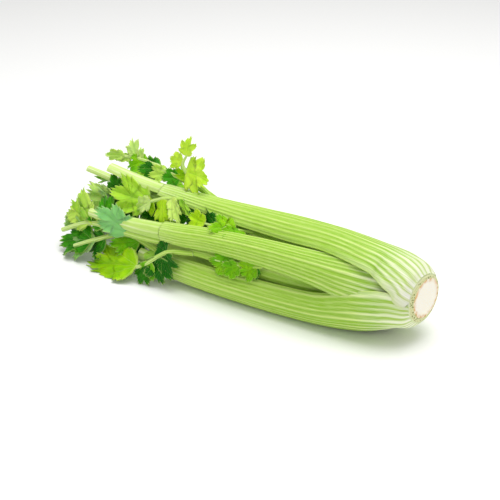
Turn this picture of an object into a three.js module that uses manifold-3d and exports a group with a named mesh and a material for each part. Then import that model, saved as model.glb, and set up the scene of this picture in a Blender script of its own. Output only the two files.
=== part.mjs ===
// A head of celery, lying on a table, in millimetres with +Z up.
// It lies along X: the cut root face looks towards +X and the leaf tips point to -X.
// The root crown, each stalk and each leafy spray is a solid of its own.
import * as THREE from "three";
import { mergeVertices } from "three/addons/utils/BufferGeometryUtils.js";
import Module from "manifold-3d";

const wasm = await Module();
wasm.setup();
const { Manifold, Mesh } = wasm;

// Driving dimensions
const CUT_CENTRE = new THREE.Vector3(197, -3, 43);
const CUT_YAW = THREE.MathUtils.degToRad(-8);
const CUT_RADIUS = 20.6;
const CROWN_RIM = 22.6;
const CROWN_RIM_DEPTH = 2.2;
const CROWN_DEPTH = 27;
const GAP = 0.35;
const RIB_HEIGHT = 0.7;
const EDGE_THICKNESS = 1.4;
const BLADE_THICKNESS = 1.0;
const TO_MIDDLE = [-1.95, 4.1, 0];

// A row at share t of a table, on a smooth curve through all of its rows.
function along(rows, t) {
  const last = rows.length - 1;
  const place = Math.min(Math.max(t, 0) * last, last - 1e-9);
  const i = Math.floor(place);
  const f = place - i;
  const row = (k) => rows[Math.max(0, Math.min(last, k))];
  return rows[0].map((_, c) => {
    const [a, b, d, e] = [row(i - 1)[c], row(i)[c], row(i + 1)[c], row(i + 2)[c]];
    return b + 0.5 * f * (d - a + f * (2 * a - 5 * b + 4 * d - e + f * (3 * (b - d) + e - a)));
  });
}

function pointAlong(rows, t) {
  return new THREE.Vector3(...along(rows, t).slice(0, 3));
}

function headingAlong(rows, t) {
  const step = 0.01;
  return pointAlong(rows, Math.min(1, t + step)).sub(pointAlong(rows, Math.max(0, t - step))).normalize();
}

// The direction that a face looks to: 0 is -Y, 90 is up, 180 is +Y. It is squared to the heading.
function outward(face, heading) {
  const turn = THREE.MathUtils.degToRad(face);
  const out = new THREE.Vector3(0, -Math.cos(turn), Math.sin(turn));
  return out.addScaledVector(heading, -out.dot(heading)).normalize();
}

// A repeatable number from 0 to 1 for each whole number k.
function draw(k) {
  const s = Math.sin(k * 12.9898 + 4.1414) * 43758.5453;
  return s - Math.floor(s);
}

function solidOf(points, faces) {
  const vertProperties = new Float32Array(points.flatMap((p) => [p.x, p.y, p.z]));
  return new Manifold(new Mesh({ numProp: 3, vertProperties, triVerts: new Uint32Array(faces.flat()) }));
}

function solidFrom(geometry) {
  geometry.deleteAttribute("normal");
  geometry.deleteAttribute("uv");
  const merged = mergeVertices(geometry, 1e-4);
  const vertProperties = merged.attributes.position.array;
  return new Manifold(new Mesh({ numProp: 3, vertProperties, triVerts: new Uint32Array(merged.index.array) }));
}

function largestBody(solid) {
  return solid.decompose().reduce((a, b) => (a.volume() >= b.volume() ? a : b));
}

// A solid through equal rings of points, each closed by a fan at both ends.
function sweep(rings, capFaces) {
  const size = rings[0].length;
  const faces = [];
  for (let r = 0; r + 1 < rings.length; r++) {
    for (let k = 0; k < size; k++) {
      const a = r * size + k;
      const b = r * size + ((k + 1) % size);
      faces.push([a, b, b + size], [a, b + size, a + size]);
    }
  }
  const end = (rings.length - 1) * size;
  for (const [a, b, c] of capFaces) faces.push([a, c, b], [end + a, end + b, end + c]);
  return solidOf(rings.flat(), faces);
}

// Triangles over a crescent whose ring runs along its outer side and back along its inner side.
function crescentCap(outerCount, innerCount) {
  const faces = [];
  let i = 0;
  let j = outerCount + innerCount - 1;
  while (i < outerCount - 1 || j > outerCount) {
    const outerShare = i / (outerCount - 1);
    const innerShare = (outerCount + innerCount - 1 - j) / (innerCount - 1);
    if (j === outerCount || (i < outerCount - 1 && outerShare <= innerShare)) {
      faces.push([i, i + 1, j]);
      i++;
    } else {
      faces.push([i, j - 1, j]);
      j--;
    }
  }
  return faces;
}

// A stalk's rows are: x, y, z of the crest of its outer face; the angle that the face looks to;
// the outer face's radius; its half span in degrees; and the thickness at the crest.
function stalkBody(rows, ribs, grow = 0) {
  const steps = Math.ceil((rows.length - 1) * 1.4);
  const outerCount = 2 * ribs + 1;
  const innerCount = 5;
  const rings = [];
  for (let i = 0; i <= steps; i++) {
    const t = i / steps;
    const [, , , face, radius, span, thickness] = along(rows, t);
    const heading = headingAlong(rows, t);
    const crest = pointAlong(rows, t);
    if (i === 0) crest.addScaledVector(heading, -grow);
    if (i === steps) crest.addScaledVector(heading, grow);
    const out = outward(face, heading);
    const across = new THREE.Vector3().crossVectors(heading, out);
    const half = THREE.MathUtils.degToRad(span);
    const ring = [];
    const push = (a, o) => ring.push(crest.clone().addScaledVector(across, a).addScaledVector(out, o));
    for (let k = 0; k < outerCount; k++) {
      const share = k / ribs - 1;
      const rib = RIB_HEIGHT * Math.min(1, radius / 14);
      const reach = radius + (grow ? rib + grow : (k % 2) * rib);
      push(reach * Math.sin(half * share) + share * grow, reach * Math.cos(half * share) - radius);
    }
    const halfWidth = radius * Math.sin(half) + grow;
    const edge = radius * (Math.cos(half) - 1) - EDGE_THICKNESS - grow;
    for (let k = 0; k < innerCount; k++) {
      const share = 1 - k / 2;
      push(halfWidth * share, -thickness - grow + (edge + thickness + grow) * share * share);
    }
    rings.push(ring);
  }
  return sweep(rings, crescentCap(outerCount, innerCount));
}

// A round stem through rows of x, y, z and radius.
function stemBody(rows, sides, steps, grow = 0) {
  const run = pointAlong(rows, 1).sub(pointAlong(rows, 0));
  const aside = new THREE.Vector3(0, 1, 0);
  if (Math.abs(run.y) > Math.max(Math.abs(run.x), Math.abs(run.z))) aside.set(1, 0, 0);
  const rings = [];
  for (let i = 0; i <= steps; i++) {
    const t = i / steps;
    const heading = headingAlong(rows, t);
    const centre = pointAlong(rows, t);
    if (i === 0) centre.addScaledVector(heading, -grow);
    if (i === steps) centre.addScaledVector(heading, grow);
    const across = new THREE.Vector3().crossVectors(heading, aside).normalize();
    const out = new THREE.Vector3().crossVectors(across, heading);
    const radius = along(rows, t)[3] + grow;
    rings.push(Array.from({ length: sides }, (_, k) => {
      const turn = (2 * Math.PI * k) / sides;
      const spoke = across.clone().multiplyScalar(Math.cos(turn)).addScaledVector(out, -Math.sin(turn));
      return centre.clone().addScaledVector(spoke, radius);
    }));
  }
  const cap = Array.from({ length: sides - 2 }, (_, k) => [0, k + 1, k + 2]);
  return sweep(rings, cap);
}

// One side of a leaf's outline: degrees from the midrib, and how far the blade reaches there as a share
// of the leaf's length. It has a lobe at the tip, one at the side and a small one near the joint.
const LEAF_SIDE = [[18, 0.76], [33, 0.93], [54, 0.54], [66, 0.56]];
const LEAF_OUTLINE = [[0, 1], ...LEAF_SIDE, [180, 0], ...LEAF_SIDE.map(([a, r]) => [-a, r]).reverse()];

// A leaf's row is: the share of its stem where it joins; x, y, z of its tip; the angle that it looks to;
// its width as a share of its length; its fold (positive lifts both edges) and its curl (positive
// bends the tip back).
function leafBody(stem, row, seed, grow = 0) {
  const [share, tx, ty, tz, face, width, fold, curl] = row;
  const joint = pointAlong(stem, share);
  const heading = new THREE.Vector3(tx, ty, tz).sub(joint);
  const length = heading.length();
  heading.normalize();
  const out = outward(face, heading);
  const across = new THREE.Vector3().crossVectors(heading, out);
  const sweep = 0.3 * (draw(seed + 5) - 0.5);
  const height = (s, a) => {
    const wave = 0.14 * Math.sin(9 * s + 6.3 * draw(seed)) * Math.abs(a);
    return fold * Math.abs(a) - curl * (s - 0.45) * Math.abs(s - 0.45) + wave;
  };
  const place = (s, a, o) => {
    const point = joint.clone().addScaledVector(heading, s * length)
      .addScaledVector(across, (a + sweep * s * s) * length).addScaledVector(out, height(s, a) * length);
    point.z = Math.max(point.z, 0.7);
    return point.addScaledVector(out, o);
  };
  const half = BLADE_THICKNESS / 2 + grow;
  const points = [place(0.45, 0, half), place(0.45, 0, -half)];
  for (const [angle, reach] of LEAF_OUTLINE) {
    const turn = THREE.MathUtils.degToRad(angle);
    const far = reach + (1.5 * grow) / length;
    const s = far * Math.cos(turn);
    const a = (far * Math.sin(turn) * width) / 1.05;
    points.push(place(s, a, half), place(s, a, -half));
  }
  const faces = [];
  for (let k = 0; k < LEAF_OUTLINE.length; k++) {
    const a = 2 + 2 * k;
    const b = 2 + 2 * ((k + 1) % LEAF_OUTLINE.length);
    faces.push([0, b, a], [1, a + 1, b + 1], [a, b + 1, a + 1], [a, b, b + 1]);
  }
  return solidOf(points, faces);
}

// The root crown: a short cone whose cut face looks to +X, turned a little to the front.
function crownBody(grow = 0) {
  const rim = grow ? 60 : CROWN_RIM;
  const profile = [
    [0, 0],
    [grow ? rim : CUT_RADIUS, 0],
    [grow ? rim : CUT_RADIUS + 1, -0.8],
    [rim, -CROWN_RIM_DEPTH - grow],
    [CUT_RADIUS - 1 + grow, -CROWN_RIM_DEPTH - grow],
    [17 + grow, -8],
    [12 + grow, -15],
    [5 + grow, -CROWN_DEPTH + 1 - grow],
    [0, -CROWN_DEPTH - grow],
  ].map(([r, depth]) => new THREE.Vector2(r, depth));
  if (grow) profile.splice(0, 3, new THREE.Vector2(0, 12), new THREE.Vector2(rim, 12));
  const geometry = new THREE.LatheGeometry(profile.reverse(), 32);
  geometry.rotateZ(-Math.PI / 2).rotateZ(CUT_YAW);
  geometry.translate(CUT_CENTRE.x, CUT_CENTRE.y, CUT_CENTRE.z);
  return solidFrom(geometry);
}

// The stalks from the outside in. Each one is trimmed clear of the stalks before it.
const STALKS = {
  stalk_top: {
    ribs: 9,
    rows: [
      [202, -6, 61, 92, 22.8, 74, 4.5],
      [190, -6, 69, 89.5, 28.5, 68, 5.5],
      [176, -5, 74, 91.8, 32.2, 57.5, 6.5],
      [165, -5, 78, 90.8, 28.2, 60.2, 7.3],
      [152, -5, 81, 96, 34.5, 51.2, 8],
      [110, -3, 85, 96.5, 26.5, 58, 9],
      [60, -1, 84.2, 94, 20, 73, 9],
      [0, 1, 82, 98, 18, 72, 8.5],
      [-50, 3, 80, 98, 15, 67, 8],
      [-85, 4, 80, 98, 12.5, 65, 8],
    ],
    tip: [
      [-83, 4, 79, 98, 8.5, 75, 8],
      [-115, 3, 82, 98, 8, 75, 8],
      [-150, 2, 87.5, 98, 6.5, 80, 7],
    ],
  },
  stalk_front_low: {
    ribs: 9,
    rows: [
      [202, -19, 26.5, -46, 23, 56, 4.5],
      [190, -23, 23.5, -44, 28, 54, 5.5],
      [176, -30.5, 24, -34, 33, 57, 6.5],
      [152, -38, 21.5, -27, 32, 54, 8],
      [115, -41, 16, -23, 25, 55, 9],
      [75, -42, 13.5, -20, 22, 58, 9],
      [25, -43, 13, -18, 19, 62, 9],
      [-25, -43, 14, -15, 17, 62, 8.5],
      [-58, -43, 16, -15, 15, 62, 8],
    ],
    tip: [
      [-56, -42, 16, -15, 9, 75, 8],
      [-72, -41, 16.5, -15, 8.5, 75, 8],
      [-88, -39, 17, -15, 8, 80, 7],
    ],
  },
  stalk_back_low: {
    ribs: 7,
    rows: [
      [204, 15.5, 32, 210, 22, 55, 4.5],
      [192, 19.5, 30, 210, 26, 56, 5.5],
      [178, 25, 26.5, 210, 32, 57, 6.5],
      [152, 31, 21, 207, 32, 56, 8],
      [115, 30, 15, 203, 25, 62, 9],
      [70, 28, 13.5, 200, 21, 62, 9],
      [20, 29, 14, 197, 18, 62, 9],
      [-35, 31, 15, 195, 15, 62, 8],
      [-75, 33, 17, 195, 13, 62, 8],
    ],
    tip: [
      [-73, 33, 17, 195, 8.5, 75, 8],
      [-105, 34, 20, 195, 8, 75, 8],
      [-138, 34, 23, 195, 6.5, 80, 7],
    ],
  },
  stalk_front: {
    ribs: 8,
    rows: [
      [190, -18, 51.5, 30, 18, 58, 3.5],
      [180, -23, 54.5, 30, 22, 58, 4],
      [165, -29.5, 58.5, 30, 25, 58, 5],
      [140, -37, 62, 31, 24, 54, 7],
      [100, -40, 64.5, 36, 18.5, 51, 8.5],
      [50, -40, 64, 36, 15, 54, 8.5],
      [0, -40.5, 61.5, 34, 12.5, 58, 8.5],
      [-35, -41, 57.5, 32, 11.5, 62, 8],
      [-60, -40, 55, 32, 10, 65, 8],
    ],
    tip: [
      [-58, -40, 54.5, 32, 8.5, 72, 8],
      [-88, -40, 52.5, 32, 7.5, 75, 7],
      [-118, -39, 51, 32, 5.5, 80, 6],
      [-150, -36, 50, 32, 3.6, 84, 4],
    ],
  },
  stalk_back: {
    ribs: 6,
    rows: [
      [192, 11.5, 51, 151, 17, 56, 3.5],
      [180, 17, 54, 151, 22, 56, 4],
      [165, 23.5, 57.5, 151, 25, 56, 5],
      [140, 28, 61, 150, 23, 56, 7],
      [100, 30, 62, 148, 18, 58, 8],
      [50, 31, 61.5, 148, 15.5, 58, 8],
      [0, 32, 60, 148, 13.5, 60, 8],
      [-40, 33, 57, 148, 12, 62, 8],
      [-68, 34, 55, 148, 10.5, 65, 8],
    ],
    tip: [
      [-66, 34, 54.5, 148, 8, 75, 8],
      [-98, 35, 52, 148, 7.5, 75, 7],
      [-130, 36, 50, 148, 6, 80, 6],
    ],
  },
  stalk_below: {
    ribs: 5,
    rows: [
      [190, -3, 26, 270, 17, 56, 3.5],
      [180, -3, 21, 270, 22, 56, 4],
      [165, -4, 15.5, 270, 24, 56, 5],
      [140, -5, 11.5, 270, 22, 56, 7],
      [100, -6, 9.5, 270, 18, 56, 8],
      [50, -7, 9, 270, 15.5, 56, 8],
      [0, -7, 10, 270, 13.5, 58, 8],
      [-45, -7, 12, 270, 12, 60, 8],
      [-80, -6, 14, 270, 10, 62, 8],
    ],
    tip: [
      [-78, -6, 14.5, 270, 7.5, 75, 8],
      [-108, -5, 16, 270, 7, 75, 7],
      [-138, -5, 18, 270, 6, 80, 6],
    ],
  },
  stalk_inner_top: {
    ribs: 5,
    rows: [
      [184, -8, 53, 62, 11, 56, 3],
      [170, -13, 59, 60, 15, 56, 4],
      [140, -17, 66, 58, 15, 56, 5.5],
      [100, -18.5, 69, 57, 13, 57, 6.5],
      [50, -16, 68, 58, 11, 60, 7],
      [0, -9, 65.5, 62, 8.5, 62, 6.5],
      [-40, -4, 65.5, 70, 6.5, 66, 6],
      [-80, -1, 67, 75, 5, 72, 5.5],
      [-118, 2, 69.5, 80, 4.2, 76, 5],
      [-150, 6, 71.5, 80, 3.8, 78, 4.6],
      [-188, 10, 73.5, 80, 3.4, 80, 4.2],
    ],
  },
  stalk_inner_front: {
    ribs: 5,
    rows: [
      [182, -14, 41, -2, 11, 56, 3],
      [168, -21, 40, -2, 14, 56, 4],
      [140, -28, 39, 0, 15, 56, 5],
      [100, -33.5, 39, 2, 13, 58, 6],
      [60, -34, 38, 2, 11.5, 62, 6],
      [30, -34, 38.5, 2, 9.5, 64, 5.5],
      [0, -36.5, 40.5, 6, 5, 70, 4.6],
      [-26, -38.5, 41, 8, 3.4, 76, 4],
    ],
  },
  heart_upper: {
    ribs: 3,
    rows: [
      [176, -2, 50, 110, 8, 56, 3],
      [150, 2, 57, 112, 10, 56, 4.5],
      [100, 4, 62, 115, 10, 58, 6],
      [50, 4, 62, 115, 8, 60, 6],
      [10, 5, 61, 115, 6.5, 66, 5.5],
      [-35, 7, 60, 115, 5, 74, 5],
    ],
  },
  heart_lower: {
    ribs: 3,
    rows: [
      [174, -3, 36, 250, 8, 56, 3],
      [150, -4, 31, 250, 10, 56, 4.5],
      [100, -3, 28, 250, 10.5, 58, 6],
      [50, -3, 28, 250, 9, 60, 6],
      [10, -3, 29, 250, 7, 66, 5.5],
      [-40, -3, 31, 250, 5.5, 74, 5],
    ],
  },
};

// The sprays: a stem's rows are x, y, z and radius; the leaves' rows are described above.
const SPRAYS = {
  spray_top_sprig: {
    stem: [[-34, 15, 69, 2.6], [-48, 16, 79, 2.4], [-62, 11, 92, 2],
      [-68, 10, 102, 1.5], [-64, 12, 112, 1.1]],
    leaves: [
      [0.58, -34, 4, 97, 25, 1.1, 0.02, 0.06],
      [0.36, -80, 9, 97, 28, 0.42, 0.3, 0.2],
      [0.8, -84, 11, 106, 20, 1, 0.2, 0.1],
      [0.95, -63, 14, 130, 15, 0.85, 0.25, 0.15],
    ],
  },
  spray_top_back: {
    stem: [[-26, 28, 58, 3], [-56, 20, 77, 3], [-87, 16, 86, 2.8],
      [-118, 19, 91, 2.2], [-150, 21, 89, 1.6]],
    leaves: [
      [0.85, -145, 26, 107, 15, 0.75, 0.2, 0.2],
      [0.8, -132, 24, 101, 10, 0.75, 0.3, 0.2],
      [0.97, -175, 20, 89, 20, 0.42, 0.35, 0.3],
      [0.88, -160, 22, 85, 35, 0.4, 0.3, 0.2],
      [0.74, -141, 12, 84, 45, 0.75, 0.2, 0.3],
      [0.6, -123, 8, 85, 40, 1, -0.1, 0.2],
      [0.52, -107, 5, 82, 30, 0.85, 0.15, 0.3],
      [0.42, -91, 6, 83, 35, 1.1, 0.2, 0.3],
    ],
  },
  spray_upper: {
    stem: [[-76, -4, 68, 2.6], [-98, -9, 63, 2.3], [-118, -8, 59, 2], [-138, -8, 56, 1.4]],
    leaves: [
      [0.27, -136, -22, 67, 35, 0.78, 0.1, 0.2],
      [0.5, -124, -12, 47, 20, 0.9, 0.2, 0.3],
      [0.9, -146, -4, 80, 30, 0.7, 0.2, 0.2],
      [0.7, -156, -10, 56, 25, 0.95, 0.15, 0.3],
      [0.97, -166, -6, 64, 30, 0.32, 0.4, 0.3],
      [0.95, -184, -6, 45, 20, 0.5, 0.35, 0.2],
    ],
  },
  spray_upper_hanging: {
    stem: [[-52, -11, 77, 2], [-68, -18, 77, 1.7], [-84, -20, 71, 1.4]],
    leaves: [
      [0.57, -65, -31, 53, 12, 0.72, -0.25, 0.3],
      [0.33, -42, -30, 63, 25, 0.5, 0.5, 0.3],
      [0.12, -33, -25, 70, 25, 0.25, 0.4, 0.3],
      [0.97, -103, -21, 60, 25, 0.7, 0.3, 0.2],
      [0.85, -93, -17, 57, 20, 0.9, 0.2, 0.2],
    ],
  },
  spray_gap_upper: {
    stem: [[30, -14, 66, 1.8], [6, -24, 67, 1.7], [-12, -24, 66, 1.4], [-24, -22, 65, 1.1]],
    leaves: [
      [0.22, -5, -37, 74, 40, 0.95, -0.2, 0.3],
      [0.15, 15, -39, 66, 50, 0.9, 0.2, 0.2],
      [0.8, -38, -25, 69, 40, 0.8, 0.35, 0.2],
      [0.95, -48, -18, 56, 30, 1, 0.1, 0.2],
      [0.5, -37, -14, 64, 30, 0.7, 0.2, 0.2],
    ],
  },
  spray_gap_lower: {
    stem: [[54, -37, 47, 1.6], [36, -40, 44.5, 1.5], [20, -41, 44, 1.4], [6, -42, 43.5, 1.2]],
    leaves: [
      [0.5, -1, -45, 41, 10, 0.8, -0.15, 0.2],
      [0.42, 17, -47, 34, 5, 0.9, 0.2, 0.2],
      [0.12, 34, -45, 37, 5, 1, 0.2, 0.2],
      [0.1, 44, -43, 35, 5, 0.8, -0.15, 0.2],
    ],
  },
  spray_middle: {
    stem: [[-48, -36, 45, 3.2], [-64, -38, 42, 3.1], [-103, -38, 40.5, 3],
      [-149, -34, 37, 2.6], [-186, -36, 21, 2.3]],
    leaves: [
      [0.74, -189, -18, 51, 25, 0.85, 0.25, 0.2],
      [0.76, -191, -24, 37, 15, 0.65, 0.3, 0.2],
      [0.73, -176, -16, 49, 35, 0.42, 0.4, 0.2],
      [0.82, -195, -28, 26, 20, 0.4, 0.2, 0.2],
      [0.69, -170, -22, 46, 30, 0.3, 0.6, 0.2],
      [0.47, -126, -46, 67, 30, 0.74, 0.05, 0.1],
      [0.62, -155, -14, 57, 30, 0.9, 0.1, 0.2],
    ],
  },
  spray_front: {
    stem: [[-22, -37.5, 40, 2.6], [-44, -44, 38, 2.4], [-55, -47, 32, 2.2],
      [-68, -50, 22, 2], [-80, -51, 15, 1.7]],
    leaves: [
      [0.94, -146, -47, 3, 47, 0.52, 0.08, 0.1],
      [0.76, -76, -56, 1, 10, 0.8, -0.2, 0.2],
      [0.66, -66, -52, 3, 15, 0.8, 0.3, 0.2],
      [0.5, -51, -53, 6, 15, 1.15, 0.1, 0.2],
      [0.36, -38, -53, 18, 5, 1, 0.1, 0.2],
      [0.3, -64, -40, 40, 20, 1.1, 0.1, 0.2],
    ],
  },
  spray_low: {
    stem: [[-56, -36, 26, 3], [-92, -30, 32, 2.8], [-118, -33, 31.5, 2.6],
      [-141, -38, 22.5, 2.4], [-164, -44, 12, 2.3]],
    leaves: [
      [0.24, -118, -47, 26, 40, 0.72, -0.15, 0.3],
      [0.12, -68, -48, 22, 15, 0.8, 0.25, 0.3],
      [0.24, -90, -36, 11, 15, 0.8, 0.2, 0.3],
      [0.78, -189, -36, 13, 40, 0.7, 0.2, 0.1],
      [0.74, -170, -47, 3, 52, 0.66, 0.2, 0.1],
      [0.62, -150, -42, 8, 40, 1, 0.1, 0.2],
    ],
  },
  spray_back_upper: {
    stem: [[-58, 29, 55, 2.8], [-94, 24, 65, 2.5], [-124, 20, 66, 2.1], [-150, 18, 62, 1.6]],
    leaves: [
      [0.28, -112, 44, 74, 140, 1.05, 0.15, 0.2],
      [0.5, -134, 40, 56, 160, 0.95, 0.2, 0.3],
      [0.73, -150, 42, 72, 145, 0.95, 0.15, 0.2],
      [0.96, -184, 22, 58, 110, 0.75, 0.2, 0.2],
    ],
  },
  spray_back_middle: {
    stem: [[-66, 27, 48, 3], [-104, 20, 39, 2.6], [-140, 16, 34, 2.2], [-172, 12, 26, 1.7]],
    leaves: [
      [0.38, -140, 46, 42, 165, 0.95, 0.15, 0.2],
      [0.58, -152, 40, 26, 180, 0.95, 0.2, 0.2],
      [0.76, -186, 26, 44, 120, 0.8, 0.2, 0.2],
      [0.94, -196.2, 2, 20, 60, 0.75, 0.2, 0.2],
      [0.02, -90, 16, 40, 20, 0.8, 0.2, 0.2],
      [0.3, -124, 10, 39, 20, 0.8, 0.2, 0.2],
      [0.56, -158, 6, 29, 25, 0.9, 0.2, 0.2],
    ],
  },
  spray_back_low: {
    stem: [[-92, 32, 16, 2.6], [-132, 28, 10, 2.2], [-164, 24, 7, 1.7]],
    leaves: [
      [0.5, -140, 58.3, 4, 140, 0.9, 0.2, 0.2],
      [0.72, -172, 44, 4, 120, 0.85, 0.2, 0.2],
      [0.9, -190, 16, 4, 80, 0.75, 0.2, 0.1],
    ],
  },
};

const STALK_COLOUR = 0xa9cf5c;
const LEAF_COLOUR = 0x5f9a1e;
const CROWN_COLOUR = 0xe9e0b8;

const cutters = [crownBody(GAP)];
const solids = { root_crown: [crownBody(), CROWN_COLOUR] };

function trimmed(solid) {
  return largestBody(cutters.reduce((left, cutter) => left.subtract(cutter), solid));
}

for (const [name, { rows, ribs, tip }] of Object.entries(STALKS)) {
  const whole = (grow) => {
    const body = stalkBody(rows, ribs, grow);
    return tip ? body.add(stalkBody(tip, 4, grow)) : body;
  };
  solids[name] = [trimmed(whole(0)), STALK_COLOUR];
  cutters.push(whole(GAP));
}

Object.entries(SPRAYS).forEach(([name, { stem, leaves }], index) => {
  const whole = (grow) => leaves.reduce(
    (body, row, k) => body.add(leafBody(stem, row, 17 * index + k, grow)),
    stemBody(stem, 6, stem.length + 1, grow),
  );
  solids[name] = [trimmed(whole(0)), LEAF_COLOUR];
  cutters.push(whole(GAP));
});

// Everything below the table top is cut away, which leaves the small flats that the head rests on.
const table = solidFrom(new THREE.BoxGeometry(600, 300, 60).translate(0, 0, -30));

const group = new THREE.Group();
for (const [name, [solid, color]] of Object.entries(solids)) {
  const made = largestBody(solid.subtract(table)).simplify(0.01).translate(TO_MIDDLE).getMesh();
  const geometry = new THREE.BufferGeometry();
  geometry.setAttribute("position", new THREE.BufferAttribute(new Float32Array(made.vertProperties), 3));
  geometry.setIndex(new THREE.BufferAttribute(made.triVerts, 1));
  const mesh = new THREE.Mesh(geometry, new THREE.MeshStandardMaterial({ color, roughness: 0.5, metalness: 0 }));
  mesh.name = name;
  group.add(mesh);
}

export default group;
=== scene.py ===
"""A head of celery laid on its side on a pale floor, dressed over the frame of its CAD part."""

import math

import bmesh
import bpy
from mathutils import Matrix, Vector, noise


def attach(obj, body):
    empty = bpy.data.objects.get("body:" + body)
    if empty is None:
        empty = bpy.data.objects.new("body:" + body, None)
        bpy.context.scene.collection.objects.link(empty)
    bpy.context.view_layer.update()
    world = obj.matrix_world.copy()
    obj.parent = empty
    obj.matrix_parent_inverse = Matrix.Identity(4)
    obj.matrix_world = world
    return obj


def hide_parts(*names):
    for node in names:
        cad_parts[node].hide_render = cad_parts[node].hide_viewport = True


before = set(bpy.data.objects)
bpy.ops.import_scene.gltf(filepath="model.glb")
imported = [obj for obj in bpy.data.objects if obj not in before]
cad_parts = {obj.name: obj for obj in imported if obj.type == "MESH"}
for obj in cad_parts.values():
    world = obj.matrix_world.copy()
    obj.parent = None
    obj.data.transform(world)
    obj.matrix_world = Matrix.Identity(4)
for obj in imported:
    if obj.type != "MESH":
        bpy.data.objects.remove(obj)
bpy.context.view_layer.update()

# Sizes in millimetres. The part's middle is moved to the origin, as in the CAD part.
MM = 0.001
TO_MIDDLE = Vector((-1.95, 4.1, 0))
CUT_CENTRE = Vector((197, -3, 43)) + TO_MIDDLE
CUT_YAW = math.radians(-8)
CUT_NORMAL = Vector((math.cos(CUT_YAW), math.sin(CUT_YAW), 0))
CUT_RADIUS = 20.6
CROWN_RIM = 22
CROWN_RIM_DEPTH = 1.3
# How far behind the cut the stalks stop.
STALK_STOP = 1.0
# The stalks' rounded ends at the cut: depth behind the cut face, and reach from the crown's middle.
ROOT_END = ((0, 20.8), (1.8, 22.4), (4, 26), (6, 28.4), (9, 31), (13, 33.6), (20, 38))
# How much of what lies outside those ends stays outside, and how far the top stalk stands out there.
ROOT_END_LEFT = 0.12
TOP_STALK_LIFT = 0.5
RIB_HEIGHT = 0.75
EDGE_THICKNESS = 1.4
BLADE_THICKNESS = 0.8

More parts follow.
